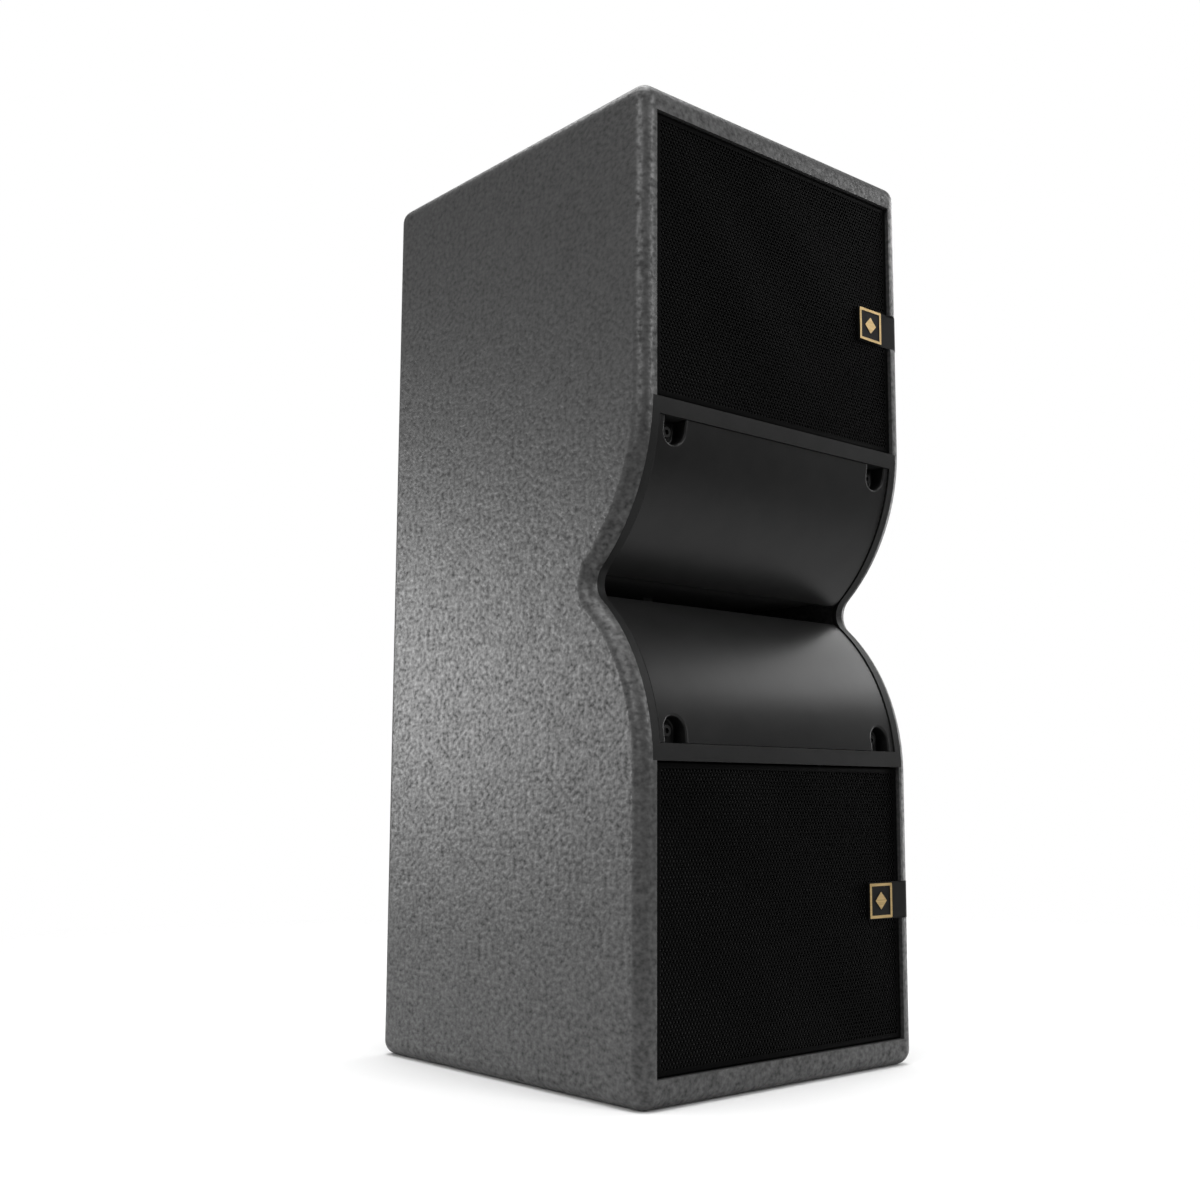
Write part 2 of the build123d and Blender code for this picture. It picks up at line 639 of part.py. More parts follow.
top = end_panel()
bottom = mirrored(top)
for top_spot in TOP_SPOTS:
    top -= top_spot * seat()
for bottom_spot in BOTTOM_SPOTS:
    bottom -= bottom_spot * seat()
save("top_panel", top)
save("bottom_panel", bottom)
save("rear_panel", rear_panel())
save("port_divider", block((-6, 6), (FRONT + DIVIDER_FRONT, FRONT + SHELF_BACK),
                           (MID - PORT_HALF, MID + PORT_HALF)))
save("corner_cleats", *cleats())
save("damping_mats", *mats())
save("window_braces", brace(), mirrored(brace()))

save("waist_frame", frame)
blocks = both_sides(flare_block())
screws = both_sides(flare_screw())
save("flare_blocks", *blocks, *[mirrored(b) for b in blocks])
save("flare_screws", *screws, *[mirrored(s) for s in screws])
rails = both_sides(grille_rail())
save("grille_rails", *rails, *[mirrored(r) for r in rails])
save("badge_screws", badge_screw(), mirrored(badge_screw()))

HALF_PIECES = {
    "baffle": baffle(),
    "port_shelf": shelf(),
    "flare": flare(),
    "grille": grille(),
    "grille_foam": grille_foam(),
    "badge_bracket": bracket(),
    "badge": badge(),
    "basket": DRIVER * basket(),
    "flange_gasket": DRIVER * flange_gasket(),
    "top_plate": DRIVER * ring((41.2, 86), TOP_PLATE),
    "magnet": DRIVER * ring((52, 90), MAGNET),
    "back_plate": DRIVER * back_plate(),
    "surround": DRIVER * surround(),
    "spider": DRIVER * spider(),
    "cone": DRIVER * cone(),
    "dust_cap": DRIVER * dust_cap(),
    "voice_coil": DRIVER * voice_coil(),
    "terminals": DRIVER * terminals(),
}
for piece_name, piece in HALF_PIECES.items():
    save(f"upper_{piece_name}", piece)
    save(f"lower_{piece_name}", mirrored(piece))
bolts = [DRIVER * bolt for bolt in driver_bolts()]
save("upper_driver_bolts", *bolts)
save("lower_driver_bolts", *[mirrored(bolt) for bolt in bolts])

save("connector_plate", connector_plate())
save("connector_gasket", connector_gasket())
save("connector_plate_screws", *plate_screws())
save("input_connector", connector(SOCKET_X))
save("link_connector", connector(-SOCKET_X))
save("internal_wiring", *wiring())
save("rear_inserts", *[spot * insert() for spot in REAR_SPOTS])
save("end_inserts", *[spot * insert() for spot in TOP_SPOTS + BOTTOM_SPOTS])

print("lean", round(degrees(LEAN), 2), "driver centre", tuple(round(v, 2) for v in DRIVER.position))
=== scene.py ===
"""Looks for the waisted loudspeaker cabinet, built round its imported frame. Metres, +Z up, front to -Y."""

import json
import math
import random

import bmesh
import bpy
from mathutils import Matrix, Vector
from mathutils.geometry import tessellate_polygon
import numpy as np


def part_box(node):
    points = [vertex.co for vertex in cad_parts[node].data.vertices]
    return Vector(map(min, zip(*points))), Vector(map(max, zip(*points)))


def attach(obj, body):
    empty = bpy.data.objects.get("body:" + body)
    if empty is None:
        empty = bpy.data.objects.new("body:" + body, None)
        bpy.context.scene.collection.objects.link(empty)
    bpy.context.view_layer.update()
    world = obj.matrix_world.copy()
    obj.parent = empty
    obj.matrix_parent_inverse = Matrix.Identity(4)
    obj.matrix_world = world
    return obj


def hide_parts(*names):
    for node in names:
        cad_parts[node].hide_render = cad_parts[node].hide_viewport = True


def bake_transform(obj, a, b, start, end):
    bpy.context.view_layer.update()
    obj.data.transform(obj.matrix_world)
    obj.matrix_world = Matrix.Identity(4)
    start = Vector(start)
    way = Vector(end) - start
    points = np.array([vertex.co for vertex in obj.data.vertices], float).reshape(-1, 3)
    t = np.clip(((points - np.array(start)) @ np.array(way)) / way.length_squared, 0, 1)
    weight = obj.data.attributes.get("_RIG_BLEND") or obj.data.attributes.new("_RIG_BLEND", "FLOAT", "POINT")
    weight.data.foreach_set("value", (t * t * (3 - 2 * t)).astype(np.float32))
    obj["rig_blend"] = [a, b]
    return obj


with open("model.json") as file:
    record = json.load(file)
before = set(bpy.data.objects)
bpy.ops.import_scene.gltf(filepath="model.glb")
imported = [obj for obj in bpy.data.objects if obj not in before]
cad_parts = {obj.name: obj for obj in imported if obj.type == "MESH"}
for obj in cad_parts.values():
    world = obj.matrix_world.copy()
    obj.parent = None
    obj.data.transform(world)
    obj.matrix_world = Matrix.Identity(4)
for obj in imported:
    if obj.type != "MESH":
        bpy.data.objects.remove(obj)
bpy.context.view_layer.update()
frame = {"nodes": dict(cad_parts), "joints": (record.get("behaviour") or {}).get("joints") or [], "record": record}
MM = 0.001
HALVES = ("upper", "lower")
ROOT = "cabinet"


# ---- materials: one small builder, then one function for each finish ----
class Shader:
    """A Principled material and the nodes that feed it. Patterns lie in the object's own metres."""

    def __init__(self, name, **plain):
        self.material = bpy.data.materials.new(name)
        self.material.use_nodes = True
        self.tree = self.material.node_tree
        self.surface = self.tree.nodes["Principled BSDF"]
        self.place = self.add("ShaderNodeTexCoord").outputs["Object"]
        for socket, value in plain.items():
            self.surface.inputs[socket.replace("_", " ")].default_value = value

    def add(self, kind, inputs=None, **settings):
        """One node, with its settings and with sockets linked or set."""
        node = self.tree.nodes.new(kind)
        for key, value in settings.items():
            setattr(node, key, value)
        for key, value in (inputs or {}).items():
            if isinstance(value, bpy.types.NodeSocket):
                self.tree.links.new(value, node.inputs[key])
            else:
                node.inputs[key].default_value = value
        return node

    def stretched(self, scale):
        """The object's place, scaled differently along each axis."""
        return self.add("ShaderNodeMapping", {"Vector": self.place, "Scale": scale}).outputs["Vector"]

    def noise(self, scale, detail=3.0, roughness=0.5, place=None, distortion=0.0):
        """Cloudy noise round 0.5; scale is how many swells there are to the metre."""
        inputs = {
            "Vector": place or self.place,
            "Scale": scale,
            "Detail": detail,
            "Roughness": roughness,
            "Distortion": distortion,
        }
        return self.add("ShaderNodeTexNoise", inputs).outputs["Fac"]

    def cells(self, scale, feature="F1"):
        """Distance to the nearest cell's centre, or to the nearest edge if the feature says so."""
        inputs = {"Vector": self.place, "Scale": scale}
        return self.add("ShaderNodeTexVoronoi", inputs, feature=feature).outputs["Distance"]

    def waves(self, scale, direction, distortion=0.0):
        """Parallel bands that follow one another along direction."""
        inputs = {"Vector": self.place, "Scale": scale, "Distortion": distortion, "Detail": 2.0}
        settings = {"wave_type": "BANDS", "bands_direction": direction}
        return self.add("ShaderNodeTexWave", inputs, **settings).outputs["Fac"]

    def span(self, value, low, high, to_low=0.0, to_high=1.0):
        """value moved from low..high to to_low..to_high, and held at the ends."""
        inputs = {
            "Value": value,
            "From Min": low,
            "From Max": high,
            "To Min": to_low,
            "To Max": to_high,
        }
        return self.add("ShaderNodeMapRange", inputs).outputs["Result"]

    def math(self, operation, a, b):
        """One sum or product of two values."""
        return self.add("ShaderNodeMath", {0: a, 1: b}, operation=operation).outputs[0]

    def add_up(self, *parts):
        """Sum of (value, weight) parts."""
        total = None
        for value, weight in parts:
            part = self.math("MULTIPLY", value, weight)
            total = part if total is None else self.math("ADD", total, part)
        return total

    def axis(self, name):
        """One coordinate of the object's place."""
        return self.add("ShaderNodeSeparateXYZ", {"Vector": self.place}).outputs[name]

    def mix(self, share, a, b):
        """Two colours mixed by share."""
        node = self.add("ShaderNodeMix", data_type="RGBA")
        for index, value in ((0, share), (6, a), (7, b)):
            if isinstance(value, bpy.types.NodeSocket):
                self.tree.links.new(value, node.inputs[index])
            else:
                node.inputs[index].default_value = value
        return node.outputs[2]

    def edge_wear_and_highlight(self, radius):
        """1 along edges sharper than radius, and 0 on open faces: the mask for edge wear and a painted edge
        highlight.
        """
        rounded = self.add("ShaderNodeBevel", {"Radius": radius}, samples=4).outputs["Normal"]
        true = self.add("ShaderNodeNewGeometry").outputs["Normal"]
        dot = self.add("ShaderNodeVectorMath", {0: rounded, 1: true}, operation="DOT_PRODUCT")
        return self.span(dot.outputs["Value"], 0.75, 0.99, 1.0, 0.0)

    def bump(self, *layers):
        """Stacks (height, depth in metres) layers into the normal."""
        below = None
        for height, depth in layers:
            inputs = {"Height": height, "Distance": depth, "Strength": 1.0}
            if below is not None:
                inputs["Normal"] = below
            below = self.add("ShaderNodeBump", inputs).outputs["Normal"]
        self.tree.links.new(below, self.surface.inputs["Normal"])

    def feed(self, socket, value):
        """Link a value to one socket of the surface."""
        self.tree.links.new(value, self.surface.inputs[socket])


def grey(value, warmth=0.0):
    """A near-neutral colour; warmth above 0 leans to brown and below 0 to blue."""
    return (value * (1 + warmth), value, value * (1 - warmth), 1.0)


def textured_paint():
    """Sprayed pebble coating: glossy dots 4 to 5 mm apart, a little longer front to back, in clumps."""
    look = Shader("textured_paint_look")
    longer = look.stretched((1.0, 0.75, 1.0))
    grain = look.noise(265.0, detail=1.0, place=longer)
    clumps = look.noise(105.0, roughness=0.6, place=longer)
    passes = look.noise(14.0, detail=3.0, roughness=0.6)
    dots = look.add_up((grain, 0.7), (clumps, 0.3))
    tone = look.add_up((dots, 1.0), (passes, 0.15))
    look.feed("Base Color", look.mix(look.span(tone, 0.4, 0.75), grey(0.050), grey(0.059)))
    look.feed("Specular IOR Level", look.span(dots, 0.3, 0.7, 0.08, 0.94))
    look.feed("Roughness", look.span(dots, 0.3, 0.7, 0.48, 0.42))
    look.bump((clumps, 0.00025), (grain, 0.00030))
    return look.material


def moulded(name, base, rough_low, rough_high, grain_depth, specular=0.25):
    """Moulded black plastic: a fine spark grain, faint flow marks and a little handling haze."""
    look = Shader(name, Specular_IOR_Level=specular)
    grain = look.noise(2600.0, detail=2.0, roughness=0.6)
    flow = look.noise(9.0, detail=3.0, place=look.stretched((0.5, 1.0, 1.0)))
    haze = look.noise(38.0, detail=4.0, roughness=0.6)
    look.feed("Base Color", look.mix(look.span(haze, 0.35, 0.7), grey(base * 0.88), grey(base * 1.12)))
    soft = look.add_up((flow, 0.6), (grain, 0.4))
    look.feed("Roughness", look.span(soft, 0.35, 0.65, rough_low, rough_high))
    look.bump((grain, grain_depth), (flow, 0.0003))
    return look.material


def satin_moulding():
    return moulded("satin_moulding_look", 0.0135, 0.3, 0.38, 0.00004, specular=0.21)


def black_moulding():
    return moulded("black_moulding_look", 0.017, 0.42, 0.52, 0.00006, specular=0.12)


def connector_plastic():
    return moulded("connector_plastic_look", 0.014, 0.36, 0.46, 0.00005)


def powder_coat(name, base, rough_low, rough_high, scale, specular=0.4):
    """Powder coat: an orange-peel skin that is a little thinner and greyer along the edges; the grey is partly
    wear and partly a painted highlight.
    """
    look = Shader(name, Specular_IOR_Level=specular)
    peel = look.noise(scale, detail=2.0)
    patches = look.noise(22.0, detail=3.0)
    edge = look.edge_wear_and_highlight(0.0006)
    body = look.mix(look.span(patches, 0.35, 0.65), grey(base * 0.85), grey(base * 1.15))
    # greyer along the edges: partly wear of a thin coat, partly a painted edge highlight
    look.feed("Base Color", look.mix(look.math("MULTIPLY", edge, 0.35), body, grey(base * 4)))
    look.feed("Roughness", look.span(peel, 0.3, 0.7, rough_low, rough_high))
    look.bump((peel, 0.00006))
    return look.material


def black_metal():
    return powder_coat("black_metal_look", 0.004, 0.5, 0.62, 1500.0, specular=0.1)


def black_screws():
    return powder_coat("black_screws_look", 0.02, 0.3, 0.42, 2400.0)


def cast_aluminium():
    return powder_coat("cast_aluminium_look", 0.03, 0.45, 0.62, 800.0)


def grille_steel():
    """Matt black coat on the perforated sheet, without the grey edges of wear and painted highlight, which the
    holes would fill with grey.
    """
    look = Shader("grille_steel_look", Specular_IOR_Level=0.03)
    peel = look.noise(1800.0, detail=2.0)
    patches = look.noise(16.0, detail=3.0)
    look.feed("Base Color", look.mix(look.span(patches, 0.35, 0.65), grey(0.0012), grey(0.0018)))
    look.feed("Roughness", look.span(peel, 0.3, 0.7, 0.46, 0.58))
    look.bump((peel, 0.00004))
    return look.material


def black_foam():
    """Open-cell foam: pores darkened with painted shade between pale strands, black all over."""
    look = Shader("black_foam_look", Specular_IOR_Level=0.1, Roughness=0.95)
    pores = look.cells(900.0, feature="DISTANCE_TO_EDGE")
    strands = look.span(pores, 0.02, 0.2, 1.0, 0.0)
    dust = look.noise(40.0, detail=3.0)
    tone = look.math("MULTIPLY", strands, look.span(dust, 0.3, 0.7, 0.7, 1.0))
    # the pores' darker grey is painted shade inside the open cells
    look.feed("Base Color", look.mix(tone, grey(0.045), grey(0.09)))
    look.bump((strands, 0.0004))
    return look.material


BADGE_EDGE, BADGE_BLUR = 0.25 * MM, 0.02 * MM      # depth behind the badge's face where the gold stops


def gold_metal():
    """Satin gold frame and boss, brushed along X, round a black lacquered field."""
    look = Shader("gold_metal_look")
    brushed = look.noise(900.0, detail=2.0, place=look.stretched((0.06, 1.0, 1.0)))
    patches = look.noise(90.0, detail=3.0)
    edge_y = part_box("upper_badge")[0].y + BADGE_EDGE
    field = look.span(look.axis("Y"), edge_y - BADGE_BLUR, edge_y + BADGE_BLUR)
    gold = look.mix(look.span(brushed, 0.3, 0.7), (0.52, 0.36, 0.15, 1.0), (0.68, 0.49, 0.23, 1.0))
    lacquer = look.mix(look.span(patches, 0.3, 0.7), grey(0.006), grey(0.010))
    look.feed("Base Color", look.mix(field, gold, lacquer))
    look.feed("Metallic", look.span(field, 0.0, 1.0, 0.62, 0.0))
    look.feed("Specular IOR Level", look.span(field, 0.0, 1.0, 0.5, 0.08))
    look.feed("Roughness", look.span(look.math("ADD", brushed, field), 0.3, 1.4, 0.34, 0.5))
    look.bump((brushed, 0.00003))
    return look.material


def machined(name, dark, light, rough_low, rough_high, metallic=1.0):
    """Turned or plated metal with fine tool marks round it and dull spots."""
    look = Shader(name, Metallic=metallic)
    marks = look.noise(1500.0, detail=2.0, place=look.stretched((1.0, 0.08, 1.0)))
    spots = look.noise(60.0, detail=4.0, roughness=0.6)
    tone = look.add_up((marks, 0.5), (spots, 0.5))
    look.feed("Base Color", look.mix(look.span(tone, 0.35, 0.65), dark, light))
    look.feed("Roughness", look.span(tone, 0.35, 0.65, rough_high, rough_low))
    look.bump((marks, 0.00003))
    return look.material


def zinc_steel():
    return machined("zinc_steel_look", (0.42, 0.42, 0.40, 1.0), (0.60, 0.60, 0.57, 1.0), 0.26, 0.42)


def coil_copper():
    """Flat copper wire wound edge to edge, in bands that follow one another along Y."""
    look = Shader("coil_copper_look", Metallic=1.0)
    turns = look.waves(900.0, "Y")
    patches = look.noise(70.0, detail=3.0)
    look.feed("Base Color", look.mix(turns, (0.30, 0.13, 0.06, 1.0), (0.72, 0.36, 0.20, 1.0)))
    look.feed("Roughness", look.span(patches, 0.3, 0.7, 0.28, 0.46))
    look.bump((turns, 0.0001))
    return look.material


def ferrite():
    """Sintered ferrite: charcoal, ground faces, small chips."""
    look = Shader("ferrite_look", Specular_IOR_Level=0.45)
    powder = look.noise(1400.0, detail=3.0, roughness=0.7)
    chips = look.span(look.cells(110.0), 0.05, 0.12, 1.0, 0.0)
    body = look.mix(look.span(powder, 0.35, 0.65), grey(0.035), grey(0.062))
    look.feed("Base Color", look.mix(look.math("MULTIPLY", chips, 0.5), body, grey(0.10)))
    look.feed("Roughness", look.span(powder, 0.3, 0.7, 0.5, 0.72))
    look.bump((powder, 0.00008), (chips, 0.0002))
    return look.material


def wood(name, dark, light, coat):
    """Plywood: long grain along X with pores; coat is how much of the grain a paint hides."""
    look = Shader(name, Specular_IOR_Level=0.35)
    along = look.stretched((3.0, 40.0, 40.0))
    grain = look.noise(6.0, detail=6.0, roughness=0.6, place=along, distortion=0.6)
    pores = look.noise(22.0, detail=2.0, place=along)
    plies = look.waves(260.0, "Z", distortion=1.5)
    tone = look.add_up((grain, 0.75), (plies, 0.12 * (1 - coat)))
    look.feed("Base Color", look.mix(look.span(tone, 0.3, 0.65), dark, light))
    look.feed("Roughness", look.span(grain, 0.3, 0.7, 0.5, 0.72))
    look.bump((grain, 0.0004 * (1 - 0.6 * coat)), (look.span(pores, 0.55, 0.7), -0.0002))
    return look.material


def plywood():
    return wood("plywood_look", (0.42, 0.27, 0.14, 1.0), (0.66, 0.48, 0.29, 1.0), 0.0)


def black_plywood():
    return wood("black_plywood_look", grey(0.15), grey(0.21), 1.0)


def felt():
    """Needled felt: matted grey fibres with stray pale ones."""
    look = Shader("felt_look", Roughness=0.95, Specular_IOR_Level=0.1, Sheen_Weight=0.35)
    fibres = look.noise(700.0, detail=5.0, roughness=0.75, distortion=2.0)
    mats = look.noise(45.0, detail=4.0, roughness=0.6)
    stray = look.span(look.noise(380.0, detail=1.0, place=look.stretched((1.0, 1.0, 0.15))), 0.68, 0.74)
    body = look.mix(look.span(fibres, 0.3, 0.7), grey(0.055), grey(0.15))
    shaded = look.mix(look.span(mats, 0.35, 0.7, 0.0, 0.5), body, grey(0.07))
    look.feed("Base Color", look.mix(look.math("MULTIPLY", stray, 0.5), shaded, grey(0.35, 0.03)))
    look.bump((fibres, 0.0006), (mats, 0.0012))
    return look.material


def rubbery(name, base, rough, scale):
    """Soft black sheath or gasket: a matt skin with fine wrinkles and a bloom of dust."""
    look = Shader(name, Specular_IOR_Level=0.4)
    skin = look.noise(scale, detail=4.0, roughness=0.6)
    bloom = look.noise(30.0, detail=4.0, roughness=0.65)
    look.feed("Base Color", look.mix(look.span(bloom, 0.4, 0.75), grey(base), grey(base * 1.9)))
    look.feed("Roughness", look.span(skin, 0.3, 0.7, rough - 0.08, rough + 0.08))
    look.bump((skin, 0.0001))
    return look.material


def cable_sheath():
    return rubbery("cable_sheath_look", 0.014, 0.5, 900.0)


def gasket_rubber():
    return rubbery("gasket_rubber_look", 0.018, 0.75, 1400.0)


def woven(name, dark, light, pitch, rough, depth):
    """Plain weave in two directions, stiffened with a coat or resin."""
    look = Shader(name, Roughness=rough, Specular_IOR_Level=0.3)
    warp = look.waves(1.0 / pitch, "X", distortion=0.4)
    weft = look.waves(1.0 / pitch, "Z", distortion=0.4)
    threads = look.math("MULTIPLY", warp, weft)
    slubs = look.noise(260.0, detail=3.0)
    tone = look.add_up((threads, 0.6), (slubs, 0.5))
    look.feed("Base Color", look.mix(look.span(tone, 0.2, 0.8), dark, light))
    look.bump((threads, depth), (slubs, depth))
    return look.material


def surround_cloth():
    return woven("surround_cloth_look", grey(0.008), grey(0.022), 0.003, 0.55, 0.00012)


def spider_cloth():
    return woven("spider_cloth_look", (0.30, 0.19, 0.07, 1.0), (0.58, 0.42, 0.20, 1.0), 0.004, 0.7, 0.0002)


def pulp(name, base, rough):
    """Pressed paper pulp: short fibres lying every way, and a faint felted mottle."""
    look = Shader(name, Specular_IOR_Level=0.3)
    fibres = look.noise(900.0, detail=4.0, roughness=0.7, distortion=3.0)
    mottle = look.noise(90.0, detail=3.0)
    tone = look.add_up((fibres, 0.6), (mottle, 0.4))
    look.feed("Base Color", look.mix(look.span(tone, 0.35, 0.65), grey(base * 0.7), grey(base * 1.5)))
    look.feed("Roughness", look.span(fibres, 0.3, 0.7, rough - 0.08, rough + 0.08))
    look.bump((fibres, 0.0002), (mottle, 0.0003))
    return look.material


def cone_paper():
    return pulp("cone_paper_look", 0.022, 0.75)


def cap_paper():
    return pulp("cap_paper_look", 0.014, 0.55)


def contact_copper():
    return machined("contact_copper_look", (0.45, 0.30, 0.12, 1.0), (0.75, 0.55, 0.28, 1.0), 0.25, 0.4)


FINISHES = (
    textured_paint, black_plywood, plywood, felt, black_moulding, satin_moulding, black_screws,
    black_metal, black_foam, connector_plastic, cable_sheath, zinc_steel, grille_steel, gold_metal,
    cast_aluminium, gasket_rubber, ferrite, surround_cloth, spider_cloth, cone_paper, cap_paper,
    coil_copper,
)
LOOKS = {finish.__name__: finish() for finish in FINISHES}

for subpart in frame["record"]["subparts"]:
    for material_slot in frame["nodes"][subpart["node"]].material_slots:
        material_slot.material = LOOKS[subpart["material_slot"]]


# ---- mesh helpers ----
SHARP = math.radians(35)               # edges that turn by more than this stay sharp


def show(name, mesh, material):
    """Put a mesh into the scene as an object of one material, smooth but for its sharp edges."""
    obj = bpy.data.objects.new(name, mesh)
    bpy.context.scene.collection.objects.link(obj)
    mesh.materials.append(material)
    mesh.shade_smooth()
    mesh.set_sharp_from_angle(angle=SHARP)
    return obj


def piece(name, vertices, faces, finish_name, body=None):
    """A closed mesh with outward normals, its finish, and the body that it rides on, if it's one body."""
    mesh = bpy.data.meshes.new(name)
    mesh.from_pydata(vertices, [], faces)
    built = bmesh.new()
    built.from_mesh(mesh)
    bmesh.ops.remove_doubles(built, verts=built.verts, dist=1e-7)
    bmesh.ops.recalc_face_normals(built, faces=built.faces)
    built.to_mesh(mesh)
    built.free()
    obj = show(name, mesh, LOOKS[finish_name])
    if body:
        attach(obj, body)
    return obj


CORNER_STEPS = 5                       # points round each corner of a rectangle
TIGHTEST = 0.2 * MM                    # the smallest radius a corner is left with


def rectangle_ring(half_x, half_z, centre_z, inset, y, corner):
    """Points round a rectangle with round corners, moved inwards by inset."""
    radius = max(corner - inset, TIGHTEST)
    reach_x, reach_z = half_x - inset - radius, half_z - inset - radius
    points = []
    for quarter, (sx, sz) in enumerate(((1, 1), (-1, 1), (-1, -1), (1, -1))):
        for step in range(CORNER_STEPS):
            turn = math.radians(90 * (quarter + step / (CORNER_STEPS - 1)))
            x = sx * reach_x + radius * math.cos(turn)
            z = sz * reach_z + radius * math.sin(turn)
            points.append(Vector((x, y, centre_z + z)))
    return points


def bridge(start_a, start_b, count):
    """Quads between two closed rings of vertices, given where each starts."""
    return [
        (start_a + k, start_a + (k + 1) % count, start_b + (k + 1) % count, start_b + k)
        for k in range(count)
    ]


# ---- perforated grilles ----
PITCH, HOLE = 3.6 * MM, 2.5 * MM       # honeycomb pitch, and a hole's width across its flats
PLAIN_EDGE = 4.5 * MM                  # width of the sheet's unperforated margin, at least
SHEET = 1.2 * MM
BEND, BEND_STEPS = 2.0 * MM, 4         # radius outside the fold, and the facets that make it
CORNER = 3.0 * MM                      # radius of the grille's four corners, seen from the front


def honeycomb(half_x, half_z, centre_z):
    """Corners of hexagonal holes in X and Z, then the webs between holes, the holes and their outline."""
    row_gap = PITCH * math.sqrt(3) / 2
    corner_r = HOLE / math.sqrt(3)
    columns = int((half_x - corner_r) / PITCH)
    rows = int((half_z - corner_r) / row_gap)
    corners = {}
    points = []
    for row in range(-rows, rows + 1):
        odd = row % 2
        for column in range(-columns, columns + 1 - odd):
            x, z = (column + odd / 2) * PITCH, centre_z + row * row_gap
            corners[row, column] = range(len(points), len(points) + 6)
            for k in range(6):
                turn = math.radians(30 + 60 * k)
                points.append((x + corner_r * math.cos(turn), z + corner_r * math.sin(turn)))
    webs = []
    for (row, column), own in corners.items():
        odd = row % 2
        right = corners.get((row, column + 1))
        up_right = corners.get((row + 1, column + odd))
        up_left = corners.get((row + 1, column - 1 + odd))
        if right:
            webs.append((own[5], right[3], right[2], own[0]))
        if up_right:
            webs.append((own[0], up_right[4], up_right[3], own[1]))
        if up_left:
            webs.append((own[1], up_left[5], up_left[4], own[2]))
        if right and up_right:
            webs.append((own[0], right[2], up_right[4]))
        if up_right and up_left:
            webs.append((own[1], up_right[3], up_left[5]))
    holes = [tuple(own) for own in corners.values()]
    return points, webs, holes, outline(webs + holes)


def outline(faces):
    """The one closed line of edges that only a single face uses, in order."""
    single = {}
    for face in faces:
        for a, b in zip(face, face[1:] + face[:1]):
            if single.pop((b, a), None) is None:
                single[a, b] = True
    following = {a: b for a, b in single}
    start = next(iter(following))
    line = [start]
    while following[line[-1]] != start:
        line.append(following[line[-1]])
    return line


def folded_edge(front, back):
    """(inset, y) points of the fold: from the face round its outside to the hem, and back inside."""
    turns = [math.radians(90 * k / BEND_STEPS) for k in range(BEND_STEPS + 1)]
    outside = [(BEND * (1 - math.sin(t)), front + BEND * (1 - math.cos(t))) for t in turns]
    bend_in = BEND - SHEET
    inside = [(BEND - bend_in * math.sin(t), front + BEND - bend_in * math.cos(t)) for t in turns]
    return outside + [(0.0, back), (SHEET, back)] + inside[::-1]


def margin(vertices, border, line):
    """Triangles of the plain margin, from the fold's ring to the outline of the perforation."""
    index = border + line[::-1]
    loops = [[vertices[v].xzy for v in border], [vertices[v].xzy for v in line[::-1]]]
    return [tuple(index[v] for v in face) for face in tessellate_polygon(loops)]


def grille_sheet(half):
    """The real grille: a perforated sheet whose four edges fold back, as one closed mesh."""
    low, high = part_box(f"{half}_grille")
    half_x, half_z, centre_z = high.x, (high.z - low.z) / 2, (low.z + high.z) / 2
    flat, webs, holes, line = honeycomb(half_x - PLAIN_EDGE, half_z - PLAIN_EDGE, centre_z)
    count = len(flat)
    vertices = [Vector((x, low.y, z)) for x, z in flat]
    vertices += [Vector((x, low.y + SHEET, z)) for x, z in flat]
    faces = list(webs) + [tuple(v + count for v in reversed(web)) for web in webs]
    for hole in holes:
        for a, b in zip(hole, hole[1:] + hole[:1]):
            faces.append((a, b, b + count, a + count))
    rings = []
    for inset, y in folded_edge(low.y, high.y):
        ring = rectangle_ring(half_x, half_z, centre_z, inset, y, CORNER)
        rings.append(range(len(vertices), len(vertices) + len(ring)))
        vertices += ring
    for near, far in zip(rings, rings[1:]):
        faces += bridge(near.start, far.start, len(near))
    faces += margin(vertices, list(rings[0]), line)
    faces += margin(vertices, list(rings[-1]), [v + count for v in line])
    obj = piece(f"{half}_grille_sheet", vertices, faces, "grille_steel", ROOT)
    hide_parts(f"{half}_grille")


# ---- soft pads: foam behind the grilles and felt on the rear panel ----
SOFT_EDGE = 0.8                        # width of a pad's soft edge, as a share of its thickness
EDGE_DROP = 1.6                        # how far the edge falls back, as a share of the crown
SWELLS = 5                             # waves that are added up into the face
SWELL_RATE, SWELL_PHASE = (20, 60), (0, 6.28)      # ranges in radians to the metre and in radians


